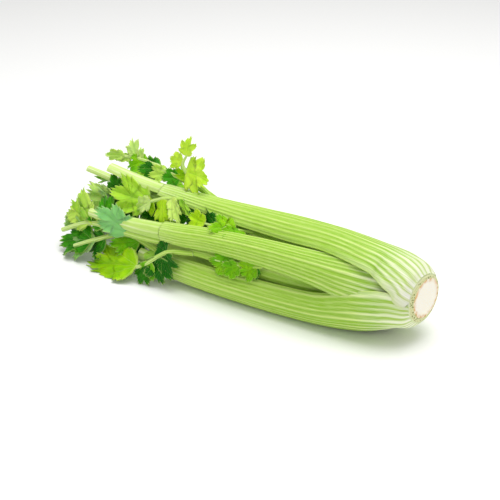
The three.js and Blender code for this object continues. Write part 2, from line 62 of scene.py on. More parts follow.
# A stalk's rows: x, y, z of the crest of its outer face; the angle that the face looks to;
# the outer face's radius; its half span in degrees; the thickness at the crest.
STALKS = {
    "stalk_top": {
        "ribs": 12,
        "rows": [
            [203, -6, 68, 90.5, 26, 94, 4.5],
            [191, -6, 74.5, 90.3, 31, 78, 5.5],
            [180, -6, 78, 90, 33, 63, 6.5],
            [166, -5, 80.8, 90, 30, 60.5, 7.3],
            [152, -5, 83, 95, 33, 53, 8],
            [110, -3, 86, 96, 26, 60, 9],
            [60, -1, 85, 94, 20, 74, 9],
            [0, 1, 82, 98, 18, 72, 8.5],
            [-50, 3, 80, 98, 15, 67, 8],
            [-85, 4, 80, 98, 12.5, 65, 8],
        ],
        "tip": [
            [-83, 4, 79, 98, 8.5, 75, 8],
            [-115, 3, 82, 98, 8, 75, 8],
            [-150, 2, 87.5, 98, 6.5, 80, 7],
        ],
    },
    "stalk_front_low": {
        "ribs": 11,
        "rows": [
            [202, -18.5, 27.5, -45, 22.5, 57, 4.5],
            [190, -23, 23.5, -44, 28, 54, 5.5],
            [176, -30.5, 24, -34, 33, 57, 6.5],
            [152, -38, 21.5, -27, 32, 54, 8],
            [115, -41, 16, -23, 25, 55, 9],
            [75, -42, 13.5, -20, 22, 58, 9],
            [25, -43, 13, -18, 19, 62, 9],
            [-25, -43, 14, -15, 17, 62, 8.5],
            [-58, -43, 16, -15, 15, 62, 8],
        ],
        "tip": [
            [-56, -42, 16, -15, 9, 75, 8],
            [-72, -41, 16.5, -15, 8.5, 75, 8],
            [-88, -39, 17, -15, 8, 80, 7],
        ],
    },
    "stalk_back_low": {
        "ribs": 7,
        "rows": [
            [204, 16, 32, 210, 22, 72, 4.5],
            [192, 19.5, 30, 210, 26, 66, 5.5],
            [178, 25, 26.5, 210, 32, 57, 6.5],
            [152, 31, 21, 207, 32, 56, 8],
            [115, 30, 15, 203, 25, 62, 9],
            [70, 28, 13.5, 200, 21, 62, 9],
            [20, 29, 14, 197, 18, 62, 9],
            [-35, 31, 15, 195, 15, 62, 8],
            [-75, 33, 17, 195, 13, 62, 8],
        ],
        "tip": [
            [-73, 33, 17, 195, 8.5, 75, 8],
            [-105, 34, 20, 195, 8, 75, 8],
            [-138, 34, 23, 195, 6.5, 80, 7],
        ],
    },
    "stalk_front": {
        "ribs": 10,
        "rows": [
            [190, -18, 51.5, 30, 18, 58, 3.5],
            [180, -23, 54.5, 30, 22, 58, 4],
            [165, -29.5, 58.5, 30, 25, 58, 5],
            [140, -37, 62, 31, 24, 54, 7],
            [100, -40, 64.5, 36, 18.5, 51, 8.5],
            [50, -40, 64, 36, 15, 54, 8.5],
            [0, -40.5, 61.5, 34, 12.5, 58, 8.5],
            [-35, -41, 57.5, 32, 11.5, 62, 8],
            [-60, -40, 55, 32, 10, 65, 8],
        ],
        "tip": [
            [-58, -40, 54.5, 32, 8.5, 72, 8],
            [-88, -40, 52.5, 32, 7.5, 75, 7],
            [-118, -39, 51, 32, 5.5, 80, 6],
            [-150, -36, 50, 32, 3.6, 84, 4],
        ],
    },
    "stalk_back": {
        "ribs": 6,
        "rows": [
            [192, 11.5, 51, 151, 17, 56, 3.5],
            [180, 17, 54, 151, 22, 56, 4],
            [165, 23.5, 57.5, 151, 25, 56, 5],
            [140, 28, 61, 150, 23, 56, 7],
            [100, 30, 62, 148, 18, 58, 8],
            [50, 31, 61.5, 148, 15.5, 58, 8],
            [0, 32, 60, 148, 13.5, 60, 8],
            [-40, 33, 57, 148, 12, 62, 8],
            [-68, 34, 55, 148, 10.5, 65, 8],
        ],
        "tip": [
            [-66, 34, 54.5, 148, 8, 75, 8],
            [-98, 35, 52, 148, 7.5, 75, 7],
            [-130, 36, 50, 148, 6, 80, 6],
        ],
    },
    "stalk_below": {
        "ribs": 5,
        "rows": [
            [190, -3, 26, 270, 17, 56, 3.5],
            [180, -3, 21, 270, 22, 56, 4],
            [165, -4, 15.5, 270, 24, 56, 5],
            [140, -5, 11.5, 270, 22, 56, 7],
            [100, -6, 9.5, 270, 18, 56, 8],
            [50, -7, 9, 270, 15.5, 56, 8],
            [0, -7, 10, 270, 13.5, 58, 8],
            [-45, -7, 12, 270, 12, 60, 8],
            [-80, -6, 14, 270, 10, 62, 8],
        ],
        "tip": [
            [-78, -6, 14.5, 270, 7.5, 75, 8],
            [-108, -5, 16, 270, 7, 75, 7],
            [-138, -5, 18, 270, 6, 80, 6],
        ],
    },
    "stalk_inner_top": {
        "ribs": 5,
        "rows": [
            [184, -8, 53, 62, 11, 56, 3],
            [170, -13, 59, 60, 15, 56, 4],
            [140, -17, 66, 58, 15, 56, 5.5],
            [100, -18.5, 69, 57, 13, 57, 6.5],
            [50, -16, 68, 58, 11, 60, 7],
            [0, -9, 65.5, 62, 8.5, 62, 6.5],
            [-40, -4, 65.5, 70, 6.5, 66, 6],
            [-80, -1, 67, 75, 5, 72, 5.5],
            [-118, 2, 69.5, 80, 4.2, 76, 5],
            [-150, 6, 71.5, 80, 3.8, 78, 4.6],
            [-188, 10, 73.5, 80, 3.4, 80, 4.2],
        ],
    },
    "stalk_inner_front": {
        "ribs": 5,
        "rows": [
            [182, -14, 41, -2, 11, 56, 3],
            [168, -21, 40, -2, 14, 56, 4],
            [140, -28, 39, 0, 15, 56, 5],
            [100, -33.5, 39, 2, 13, 58, 6],
            [60, -34, 38, 2, 11.5, 62, 6],
            [30, -34, 38.5, 2, 9.5, 64, 5.5],
            [0, -36.5, 40.5, 6, 5, 70, 4.6],
            [-26, -38.5, 41, 8, 3.4, 76, 4],
        ],
    },
    "heart_upper": {
        "ribs": 3,
        "rows": [
            [176, -2, 50, 110, 8, 56, 3],
            [150, 2, 57, 112, 10, 56, 4.5],
            [100, 4, 62, 115, 10, 58, 6],
            [50, 4, 62, 115, 8, 60, 6],
            [10, 5, 61, 115, 6.5, 66, 5.5],
            [-35, 7, 60, 115, 5, 74, 5],
        ],
    },
    "heart_lower": {
        "ribs": 3,
        "rows": [
            [174, -3, 36, 250, 8, 56, 3],
            [150, -4, 31, 250, 10, 56, 4.5],
            [100, -3, 28, 250, 10.5, 58, 6],
            [50, -3, 28, 250, 9, 60, 6],
            [10, -3, 29, 250, 7, 66, 5.5],
            [-40, -3, 31, 250, 5.5, 74, 5],
        ],
    },
}

# A spray's stem rows: x, y, z and radius. A leaf's row: the share of the stem where it joins; x, y, z
# of its tip; the angle that it looks to; width over length; fold; curl; its colour from dark (0)
# to bright yellow-green (1), whose darkest values, down to below 0, are painted shade on the leaves
# in the gaps and shadows; and how much of the dull grey-green underside it shows.
SPRAYS = {
    "spray_top_sprig": {
        "stem": [[-34, 15, 69, 2.6], [-48, 16, 79, 2.4], [-62, 11, 92, 2],
                 [-68, 10, 102, 1.5], [-64, 12, 112, 1.1]],
        "leaves": [
            [0.58, -34, 4, 98, 25, 1.1, 0.02, 0.06, 0.9, 0],
            [0.36, -80, 9, 97, 28, 0.42, 0.3, 0.2, 0.72, 0],
            [0.8, -84, 11, 106, 20, 1, 0.2, 0.1, 0.9, 0],
            [0.95, -63, 14, 130, 15, 0.85, 0.25, 0.15, 0.92, 0],
        ],
    },
    "spray_top_back": {
        "stem": [[-26, 28, 58, 3], [-56, 20, 77, 3], [-87, 16, 86, 2.8],
                 [-118, 19, 91, 2.2], [-150, 21, 89, 1.6]],
        "leaves": [
            [0.85, -145, 26, 107, 15, 0.75, 0.2, 0.2, 0.9, 0.45],
            [0.8, -132, 24, 101, 10, 0.75, 0.3, 0.2, 0.8, 0.4],
            [0.97, -175, 20, 89, 20, 0.42, 0.35, 0.3, 0.75, 0.3],
            [0.88, -160, 22, 85, 35, 0.4, 0.3, 0.2, 0.8, 0.3],
            [0.74, -141, 12, 84, 45, 0.75, 0.2, 0.3, 0.5, 0],
            [0.6, -123, 8, 85, 40, 1, -0.1, 0.2, 0.12, 0],
            [0.52, -107, 5, 82, 30, 0.85, 0.15, 0.3, 0.75, 0.2],
            [0.42, -91, 6, 83, 35, 1.1, 0.2, 0.3, 0.2, 0],
        ],
    },
    "spray_upper": {
        "stem": [[-76, -4, 68, 2.6], [-98, -9, 63, 2.3], [-118, -8, 59, 2], [-138, -8, 56, 1.4]],
        "leaves": [
            [0.27, -136, -22, 67, 35, 0.78, 0.1, 0.2, 0.66, 0.08],
            [0.5, -124, -12, 47, 20, 0.9, 0.2, 0.3, 0.12, 0],
            [0.9, -146, -4, 80, 30, 0.7, 0.2, 0.2, 0.1, 0],
            [0.7, -156, -10, 56, 25, 0.95, 0.15, 0.3, 0.14, 0],
            [0.97, -166, -6, 64, 30, 0.32, 0.4, 0.3, 0.5, 0.5],
            [0.95, -184, -6, 45, 20, 0.5, 0.35, 0.2, 0.75, 0.4],
        ],
    },
    "spray_upper_hanging": {
        "stem": [[-52, -11, 77, 2], [-68, -18, 77, 1.7], [-84, -20, 71, 1.4]],
        "leaves": [
            [0.57, -65, -31, 53, 12, 0.72, -0.25, 0.3, 0.76, 0],
            [0.33, -42, -30, 63, 25, 0.5, 0.5, 0.3, 0.95, 0.3],
            [0.12, -33, -25, 70, 25, 0.25, 0.4, 0.3, 0.6, 0.1],
            [0.97, -103, -21, 60, 25, 0.7, 0.3, 0.2, 1.05, 0.5],
            [0.85, -93, -17, 57, 20, 0.9, 0.2, 0.2, 0.8, 0],
        ],
    },
    "spray_gap_upper": {
        "stem": [[30, -14, 66, 1.8], [6, -24, 67, 1.7], [-12, -24, 66, 1.4], [-24, -22, 65, 1.1]],
        "leaves": [
            [0.22, -5, -37, 74, 40, 0.95, -0.2, 0.3, 0.52, 0],
            [0.15, 15, -39, 66, 50, 0.9, 0.2, 0.2, 0.45, 0],
            [0.8, -38, -25, 69, 40, 0.8, 0.35, 0.2, 0.72, 0],
            [0.95, -48, -18, 56, 30, 1, 0.1, 0.2, 0.05, 0],
            [0.5, -37, -14, 64, 30, 0.7, 0.2, 0.2, 0, 0],
        ],
    },
    "spray_gap_lower": {
        "stem": [[54, -37, 47, 1.6], [36, -40, 44.5, 1.5], [20, -41, 44, 1.4], [6, -42, 43.5, 1.2]],
        "leaves": [
            [0.5, -1, -45, 41, 10, 0.8, -0.15, 0.2, 0.48, 0],
            [0.42, 17, -47, 34, 5, 0.9, 0.2, 0.2, 0.42, 0],
            [0.12, 34, -45, 37, 5, 1, 0.2, 0.2, 0.5, 0],
            [0.1, 44, -43, 35, 5, 0.8, -0.15, 0.2, 0.1, 0],
        ],
    },
    "spray_middle": {
        "stem": [[-48, -36, 45, 3.2], [-64, -38, 42, 3.1], [-103, -38, 40.5, 3],
                 [-149, -34, 37, 2.6], [-186, -36, 21, 2.3]],
        "leaves": [
            [0.74, -188, -18, 49, 25, 0.72, 0.25, 0.2, 0.72, 0.2],
            [0.76, -191, -24, 38, 15, 0.6, 0.3, 0.2, 0.66, 0.1],
            [0.73, -176, -16, 50, 35, 0.4, 0.4, 0.2, 0.78, 0.25],
            [0.82, -195, -28, 26, 20, 0.4, 0.2, 0.2, 0.4, 0.3],
            [0.69, -170, -22, 46, 30, 0.3, 0.6, 0.2, 0.92, 0.1],
            [0.47, -126, -46, 67, 30, 0.74, 0.05, 0.1, 0.4, 0.9],
            [0.62, -155, -14, 57, 30, 0.9, 0.1, 0.2, 0.15, 0],
        ],
    },
    "spray_front": {
        "stem": [[-22, -37.5, 40, 2.6], [-44, -44, 38, 2.4], [-55, -47, 32, 2.2],
                 [-68, -50, 22, 2], [-80, -51, 15, 1.7]],
        "leaves": [
            [0.94, -146, -47, 3, 47, 0.54, 0.08, 0.1, 0.64, 0],
            [0.76, -76, -56, 1, 10, 0.8, -0.2, 0.2, 0.12, 0],
            [0.66, -66, -52, 3, 15, 0.8, 0.3, 0.2, 0.4, 0],
            [0.5, -51, -53, 6, 15, 1.15, 0.1, 0.2, -0.1, 0],
            [0.36, -38, -53, 18, 5, 1, 0.1, 0.2, -0.15, 0],
            [0.3, -64, -40, 40, 20, 1.1, 0.1, 0.2, -0.1, 0],
        ],
    },
    "spray_low": {
        "stem": [[-56, -36, 26, 3], [-92, -30, 32, 2.8], [-118, -33, 31.5, 2.6],
                 [-141, -38, 22.5, 2.4], [-164, -44, 12, 2.3]],
        "leaves": [
            [0.24, -118, -47, 26, 40, 0.72, -0.15, 0.3, 0.38, 0],
            [0.12, -68, -48, 22, 15, 0.8, 0.25, 0.3, 0.55, 0.15],
            [0.24, -90, -36, 11, 15, 0.8, 0.2, 0.3, 0, 0],
            [0.78, -189, -36, 13, 40, 0.7, 0.2, 0.1, 0.18, 0],
            [0.74, -170, -47, 3, 52, 0.66, 0.2, 0.1, 0.22, 0.3],
            [0.62, -150, -42, 8, 40, 1, 0.1, 0.2, 0.05, 0],
        ],
    },
    "spray_back_upper": {
        "stem": [[-58, 29, 55, 2.8], [-94, 24, 65, 2.5], [-124, 20, 66, 2.1], [-150, 18, 62, 1.6]],
        "leaves": [
            [0.28, -112, 44, 74, 140, 1.05, 0.15, 0.2, 0.5, 0],
            [0.5, -134, 40, 56, 160, 0.95, 0.2, 0.3, 0.35, 0],
            [0.73, -150, 42, 72, 145, 0.95, 0.15, 0.2, 0.55, 0],
            [0.96, -184, 22, 58, 110, 0.75, 0.2, 0.2, 0.45, 0],
        ],
    },
    "spray_back_middle": {
        "stem": [[-66, 27, 48, 3], [-104, 20, 39, 2.6], [-140, 16, 34, 2.2], [-172, 12, 26, 1.7]],
        "leaves": [
            [0.38, -140, 46, 42, 165, 0.95, 0.15, 0.2, 0.4, 0],
            [0.58, -152, 40, 26, 180, 0.95, 0.2, 0.2, 0.3, 0.1],
            [0.76, -186, 26, 44, 120, 0.8, 0.2, 0.2, 0.45, 0],
            [0.94, -196.2, 2, 20, 60, 0.75, 0.2, 0.2, 0.35, 0],
            [0.02, -90, 16, 40, 20, 0.8, 0.2, 0.2, 0.08, 0],
            [0.3, -124, 10, 39, 20, 0.8, 0.2, 0.2, 0.12, 0],
            [0.56, -158, 6, 29, 25, 0.9, 0.2, 0.2, 0.05, 0],
        ],
    },
    "spray_back_low": {
        "stem": [[-92, 32, 16, 2.6], [-132, 28, 10, 2.2], [-164, 24, 7, 1.7]],
        "leaves": [
            [0.5, -140, 58.3, 4, 140, 0.9, 0.2, 0.2, 0.3, 0],
            [0.72, -172, 44, 4, 120, 0.85, 0.2, 0.2, 0.25, 0],
            [0.9, -190, 16, 4, 80, 0.75, 0.2, 0.1, 0.35, 0],
        ],
    },
}


def along(rows, t):
    """A row at share t of a table, on a smooth curve through all of its rows."""
    last = len(rows) - 1
    place = min(max(t, 0) * last, last - 1e-9)
    i = int(place)
    f = place - i
    a, b, d, e = (rows[max(0, min(last, k))] for k in (i - 1, i, i + 1, i + 2))
    return [q + 0.5 * f * (r - p + f * (2 * p - 5 * q + 4 * r - s + f * (3 * (q - r) + s - p)))
            for p, q, r, s in zip(a, b, d, e)]


def point_along(rows, t):
    return Vector(along(rows, t)[:3]) + TO_MIDDLE


def heading_along(rows, t):
    return (point_along(rows, min(1, t + 0.01)) - point_along(rows, max(0, t - 0.01))).normalized()


def outward(face, heading):
    """The direction that a face looks to, squared to the heading: 0 is -Y, 90 is up, 180 is +Y."""
    turn = math.radians(face)
    out = Vector((0, -math.cos(turn), math.sin(turn)))
    return (out - heading * out.dot(heading)).normalized()


def draw(k):
    """A repeatable number from 0 to 1 for each whole number k."""
    s = math.sin(k * 12.9898 + 4.1414) * 43758.5453
    return s - math.floor(s)


def ease(low, high, x):
    t = min(1, max(0, (x - low) / (high - low)))
    return t * t * (3 - 2 * t)


def rolled_skin(bm, across, steps, place):
    """Rolls a grid into a closed skin. place(i, j) gives the point's position in millimetres, its
    place on the skin's own map and its marks, which the materials read."""
    made = bmesh.ops.create_grid(bm, x_segments=across, y_segments=steps, size=0.5)["verts"]
    made_map = bm.loops.layers.uv["skin"]
    layers = bm.verts.layers.float
    spots = {}
    for vert in made:
        i = round((vert.co.x + 0.5) * across)
        j = round((vert.co.y + 0.5) * steps)
        point, spot, marks = place(i, j)
        vert.co = point * MM
        spots[vert] = spot
        for name, value in marks.items():
            vert[layers[name]] = value
    for face in {face for vert in made for face in vert.link_faces}:
        for loop in face.loops:
            loop[made_map].uv = spots[loop.vert]
    bmesh.ops.remove_doubles(bm, verts=made, dist=1e-6)


def begin(marks):
    bm = bmesh.new()
    bm.loops.layers.uv.new("skin")
    for name in marks:
        bm.verts.layers.float.new(name)
    return bm


def close_ends(bm, cut_material):
    """Closes open ends with flat cut faces, which take the material for cut flesh."""
    rim = [edge for edge in bm.edges if edge.is_boundary]
    for face in bmesh.ops.holes_fill(bm, edges=rim, sides=0)["faces"]:
        face.material_index = cut_material
    for edge in rim:
        edge.smooth = False


def finish_piece(bm, name, node, materials):
    """Makes the piece's object. It rides on the root body and stands for the CAD node."""
    bmesh.ops.recalc_face_normals(bm, faces=bm.faces)
    for face in bm.faces:
        face.smooth = True
    mesh = bpy.data.meshes.new(name)
    bm.to_mesh(mesh)
    bm.free()
    for material in materials:
        mesh.materials.append(material)
    piece = bpy.data.objects.new(name, mesh)
    bpy.context.scene.collection.objects.link(piece)
    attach(piece, "root")
    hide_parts(node)
    return piece


# Stalks

STALK_MARKS = ("rib", "along", "margin", "inner")
STALK_STEPS = 84
TIP_STEPS = 34
TIP_RIBS = 4
TIP_RIB_SHARE = 0.7
# The rings over which a stalk's ribs fade before its upper stem, and between the two.
SHOULDER_STEPS = 7
SHOULDER_SWELL = 0.5


def stalk_columns(ribs):
    """The points round a stalk's section: its outer face, one margin, its inner face, the other."""
    outer = [("outer", k / (4 * ribs) - 1) for k in range(8 * ribs + 1)]
    inner = [("inner", 1 - k / 8) for k in range(17)]
    return (outer + [("edge", k / 4) for k in (1, 2, 3)]
            + inner + [("edge", -k / 4) for k in (1, 2, 3)] + outer[:1])


def stalk_rings(rows, ribs, tip, seed):
    """Where each ring of a stalk is, and its section there. With a tip, a rounded shoulder leads
    from the wide stalk to its narrower upper stem."""
    rings = []
    for part, count, part_ribs in ((rows, STALK_STEPS, ribs), (tip, TIP_STEPS, TIP_RIBS)):
        if not part:
            continue
        for i in range(count + 1):
            t = i / count
            _, _, _, face, radius, span, thickness = along(part, t)
            heading = heading_along(part, t)
            rib = RIB_HEIGHT * min(1, radius / 14) * (1 if part is rows else TIP_RIB_SHARE)
            rings.append({
                "crest": point_along(part, t), "heading": heading, "out": outward(face, heading),
                "radius": radius, "half": math.radians(span), "thickness": thickness,
                "ribs": part_ribs, "seed": seed, "rib": rib,
            })
        if part is rows and tip:
            for k, ring in enumerate(rings[-SHOULDER_STEPS:]):
                ring["rib"] *= 1 - k / SHOULDER_STEPS
                ring["radius"] += SHOULDER_SWELL * math.sin(math.pi * k / SHOULDER_STEPS)
            rings.append(None)
    if tip:
        gap = rings.index(None)
        before, after = rings[gap - 1], rings[gap + 2]
        blend = []
        for k in range(1, SHOULDER_STEPS + 1):
            share = k / (SHOULDER_STEPS + 1)
            b = ease(0, 1, share)
            ring = {key: before[key] + (after[key] - before[key]) * (share if key == "crest" else b)
                    for key in ("crest", "heading", "out", "radius", "half", "thickness")}
            blend.append({**ring, "ribs": TIP_RIBS, "rib": 0, "seed": seed})
        for k, ring in enumerate(rings[gap + 1:gap + 1 + SHOULDER_STEPS]):
            ring["rib"] *= k / SHOULDER_STEPS
        rings = rings[:gap] + blend + rings[gap + 2:]
    return rings


def section_point(ring, kind, share):
    """One point of a stalk's section, across and out from its crest, and how far up a rib it is."""
    radius, half, thickness = ring["radius"], ring["half"], ring["thickness"]
    edge = radius * (math.cos(half) - 1)
    if kind == "outer":
        spread = share + 0.035 * math.sin(9 * share + ring["seed"]) * (1 - share * share)
        phase = (spread + 1) * ring["ribs"] / 2
        crest = (0.5 - 0.5 * math.cos(2 * math.pi * phase)) ** 0.75
        crest *= 0.65 + 0.35 * math.sin(2.2 * int(phase) ** 2 + ring["seed"]) ** 2
        reach = radius + ring["rib"] * crest
        return reach * math.sin(half * share), reach * math.cos(half * share) - radius, crest
    if kind == "inner":
        across = radius * math.sin(half) * share
        return across, -thickness + (edge - EDGE_THICKNESS + thickness) * share * share, 0.3
    turn = math.pi * abs(share)
    side = 1 if share > 0 else -1
    drop = EDGE_THICKNESS / 2 * (1 - side * math.cos(turn))
    return side * (radius * math.sin(half) + 0.45 * math.sin(turn)), edge - drop, 0.4


def tuck_in(point, lift):
    """Draws a point in to the stalks' rounded ends, where it lies outside them near the cut. lift is
    how far the stalk stands out over the ones beside it."""
    depth = (CUT_CENTRE - point).dot(CUT_NORMAL)
    if depth > ROOT_END[-1][0]:
        return point
    middle = CUT_CENTRE - CUT_NORMAL * depth
    spoke = point - middle
    reach = ROOT_END[0][1] + lift
    for (a, low), (b, high) in zip(ROOT_END, ROOT_END[1:]):
        reach += (high - low) * min(1, max(0, (depth - a) / (b - a)))
    over = spoke.length - reach
    if over <= 0:
        return point
    return middle + spoke * ((reach + ROOT_END_LEFT * over) / spoke.length)


def make_stalk(name, form, seed):
    """A stalk as one closed skin, cut square at its upper end and along the crown's cut at the root."""
    ribs, tip = form["ribs"], form.get("tip")
    columns = stalk_columns(ribs)
    rings = stalk_rings(form["rows"], ribs, tip, seed)
    run = [0.0]
    for a, b in zip(rings, rings[1:]):
        run.append(run[-1] + (b["crest"] - a["crest"]).length)
    bm = begin(STALK_MARKS)

    def place(i, j):
        ring = rings[j]
        kind, share = columns[i]
        sideways, rise, crest = section_point(ring, kind, share)
        across = ring["heading"].cross(ring["out"]).normalized()
        point = ring["crest"] + across * sideways + ring["out"] * rise
        if kind == "outer":
            swell = noise.noise(Vector((share * 2.2 + 7 * seed, run[j] / 26, seed)))
            point += ring["out"] * 0.22 * swell
        point = tuck_in(point, TOP_STALK_LIFT if name == "stalk_top" else 0)
        point.z = max(point.z, 0)
        margin = {"edge": 1, "outer": ease(0.82, 1, abs(share)), "inner": ease(0.8, 1, abs(share))}[kind]
        marks = {"rib": crest, "along": run[j], "margin": margin,
                 "inner": 1 if kind == "inner" else 0.5 if kind == "edge" else 0}
        arc = share * ring["half"] * ring["radius"] if kind == "outer" else 60 + sideways
        return point, (arc, run[j]), marks

    rolled_skin(bm, len(columns) - 1, len(rings) - 1, place)
    bmesh.ops.bisect_plane(bm, geom=bm.verts[:] + bm.edges[:] + bm.faces[:], dist=1e-7,
                           plane_co=(CUT_CENTRE - CUT_NORMAL * STALK_STOP) * MM, plane_no=CUT_NORMAL,
                           clear_outer=True)
    close_ends(bm, 1)
    return finish_piece(bm, name + "_skin", name, [stalk_skin, cut_flesh])


# Sprays

STEM_SIDES = 14
LEAF_ROUND = 132
LEAF_STEPS = 20
VEIN_SPREAD = 35
TOOTH_SPREAD = 6.4
TOOTH_DEPTH = 0.14
# A leaf's outline: degrees from the midrib, and its reach there as a share of the leaf's length.
LEAF_FAN = ((0, 1), (11, 0.92), (19, 0.74), (27, 0.86), (35, 0.92), (45, 0.8), (53, 0.54), (61, 0.58),
            (69, 0.52), (82, 0.24))


def add_stem(bm, rows, cut_material):
    """A pale leaf stem, faintly ridged all round."""
    steps = 12 * (len(rows) - 1)
    run = point_along(rows, 1) - point_along(rows, 0)
    aside = Vector((1, 0, 0)) if abs(run.y) > max(abs(run.x), abs(run.z)) else Vector((0, 1, 0))

    def place(i, j):
        t = j / steps
        heading = heading_along(rows, t)
        across = heading.cross(aside).normalized()
        out = across.cross(heading)
        turn = 2 * math.pi * i / STEM_SIDES
        radius = along(rows, t)[3] * (1 + 0.05 * math.cos(7 * turn))
        point = point_along(rows, t) + (across * math.cos(turn) - out * math.sin(turn)) * radius
        point.z = max(point.z, 0.05)
        marks = {"rib": 0.5 + 0.5 * math.cos(7 * turn), "along": 210 + 90 * t, "margin": 0, "inner": 0}
        return point, (turn * radius, 90 * t), marks

    rolled_skin(bm, STEM_SIDES, steps, place)
    close_ends(bm, cut_material)


def fan_reach(angle, seed):
    """How far a leaf reaches at an angle from its midrib, as a share of its length: a lobe at the
    tip and two on each side, with small pointed teeth on all of them."""
    side = abs(angle)
    k = max(i for i, (start, _) in enumerate(LEAF_FAN[:-1]) if side >= start)
    (a, low), (b, high) = LEAF_FAN[k], LEAF_FAN[k + 1]
    reach = low + (high - low) * ease(a, b, side)
    reach *= 1 + 0.1 * noise.noise(Vector((angle / 26, seed, 3)))
    wave = (angle / TOOTH_SPREAD + 0.3 * noise.noise(Vector((angle / 15, seed, 8)))) % 1
    tooth = (1 - abs(2 * wave - 1) ** 1.2) - 0.6
    return reach * (1 + TOOTH_DEPTH * tooth * (0.6 + 0.8 * draw(seed + int(angle / TOOTH_SPREAD))))


def leaf_rim(share, seed):
    """The leaf's outline, once round from the stem: its place along the midrib and across it."""
    edge = LEAF_FAN[-1][0]
    wedge = 0.06
    angle = edge * max(-1, min(1, (share - 0.5) / (0.5 - wedge)))
    reach = fan_reach(angle, seed) * min(1, min(share, 1 - share) / wedge)
    return reach * math.cos(math.radians(angle)), reach * math.sin(math.radians(angle))


def add_leaf(bm, stem, row, seed):
    """A leaf blade: a closed skin, thin at its toothed rim, folded along its midrib, pleated along
    its veins and ruffled."""
    share, tx, ty, tz, face, width, fold, curl, tone, under = row
    joint = point_along(stem, share)
    heading = Vector((tx, ty, tz)) + TO_MIDDLE - joint
    length = heading.length
    heading.normalize()
    out = outward(face, heading)
    across = heading.cross(out)
    phase = 6.3 * draw(seed)
    sweep = 0.3 * (draw(seed + 5) - 0.5)
    rim = [leaf_rim(k / LEAF_ROUND, seed) for k in range(LEAF_ROUND + 1)]

    def place(i, j):
        level = 2 * j / LEAF_STEPS - 1
        reach = (1 - abs(level)) ** 0.8
        s = 0.45 + (rim[i][0] - 0.45) * reach
        a = rim[i][1] * reach * width / 1.05
        wide = math.sqrt(a * a + 0.0009) - 0.03
        height = (fold * wide - curl * (s - 0.45) * abs(s - 0.45)
                  + 0.14 * math.sin(9 * s + phase) * wide)
        far = math.hypot(s, a)
        vein = math.degrees(math.atan2(rim[i][1] * reach, max(s, 1e-4))) / VEIN_SPREAD
        height += 0.1 * far * (abs(vein - round(vein)) * 2 - 0.5) * ease(0, 0.3, s)
        height += 0.045 * reach ** 3 * math.sin(0.13 * VEIN_SPREAD * vein + 2 * phase) * ease(0, 0.5, s)
        height += 0.022 * reach ** 4 * math.sin(0.33 * VEIN_SPREAD * vein + 3 * phase) * ease(0, 0.5, s)
        height += 0.015 * noise.noise(Vector((9 * s, 9 * a, seed)))
        side = (1 if level > 0 else -1) * math.sqrt(max(0, 1 - reach ** 6)) * BLADE_THICKNESS / 2
        point = (joint + heading * s * length + across * (a + sweep * s * s) * length
                 + out * height * length)
        point.z = max(point.z, 0.6)
        point += out * side
        upper = 1 if level > 0 else 0 if level < 0 else 0.5
        # The tone mark is the leaf's own green, and at its dark end painted shade for leaves in the gaps
        # and shadows.
        marks = {"tone": tone + 0.12 * (draw(seed + 9) - 0.5), "rim": reach,
                 "dull": under * upper + 0.35 * (1 - upper)}
        return point, (rim[i][1] * reach, s), marks

    rolled_skin(bm, LEAF_ROUND, LEAF_STEPS, place)


def make_spray(name, form, seed):
    stem = form["stem"]
    bm = begin(STALK_MARKS)
    add_stem(bm, stem, 1)
    finish_piece(bm, name + "_stem", name, [stalk_skin, cut_flesh])
    bm = begin(("tone", "rim", "dull"))
    for k, row in enumerate(form["leaves"]):
        add_leaf(bm, stem, row, seed + k)
    finish_piece(bm, name + "_leaves", name, [leaf_blade])


# The root crown

CROWN_ROUND = 120
# Where the crown's skin ends its middle disc, its ring of cut stalk bases, its flank and its back.
DISC_END, RING_END, FLANK_END, BACK_END = 20, 34, 40, 50
DISC_RADIUS = 17.6
DISC_SHIFT = 2.2
CROWN_BACK = ((CROWN_RIM, CROWN_RIM_DEPTH), (20.4, 2), (18, 7), (14, 13), (7, 22), (0, 27))


def make_crown():
    """The cut root plate: a pale middle, a ring of cut stalk bases that slopes away towards the
    front, and the cone that the stalks grow from."""
    bm = begin(("disc", "band", "flank"))
    side = Vector((-CUT_NORMAL.y, CUT_NORMAL.x, 0))
    up = Vector((0, 0, 1))

    def place(i, j):
        turn = 2 * math.pi * i / CROWN_ROUND
        uneven = noise.noise(Vector((2.2 * math.cos(turn), 2.2 * math.sin(turn), 4)))
        fine = noise.noise(Vector((7 * math.cos(turn), 7 * math.sin(turn), 9)))
        spoke = side * math.cos(turn) + up * math.sin(turn)
        inner = DISC_RADIUS + 0.6 * uneven + 0.5 * fine
        outer = CUT_RADIUS + 0.4 * uneven
        disc = band = flank = 0
        if j <= DISC_END:
            disc = j / DISC_END
            flat = side * DISC_SHIFT + spoke * inner * disc
            depth = 0.25 * (1 + noise.noise(flat * 0.16)) * (1 - 0.5 * disc)
        elif j <= RING_END:
            disc, band = 1, (j - DISC_END) / (RING_END - DISC_END)
            flat = side * DISC_SHIFT * (1 - band) + spoke * (inner + (outer - inner) * band)
            depth = 0.2 + 0.7 * band * ease(-0.2, 1, -math.cos(turn)) + 0.25 * abs(fine) * band
        elif j <= FLANK_END:
            disc, band, flank = 1, 1, 1
            k = (j - RING_END) / (FLANK_END - RING_END)
            flat = spoke * (outer + (CROWN_RIM - outer) * k)
            start = 0.2 + 0.7 * ease(-0.2, 1, -math.cos(turn)) + 0.25 * abs(fine)
            depth = start + (CROWN_RIM_DEPTH - start) * k
        else:
            disc, band, flank = 1, 1, 1
            radius, depth = along(CROWN_BACK, (j - FLANK_END) / (BACK_END - FLANK_END))
            flat = spoke * radius
        point = CUT_CENTRE + flat - CUT_NORMAL * depth
        marks = {"disc": disc, "band": band, "flank": flank}
        return point, (flat.dot(side), flat.dot(up)), marks

    rolled_skin(bm, CROWN_ROUND, BACK_END, place)
    finish_piece(bm, "root_crown_cut", "root_crown", [crown_flesh])


# Materials

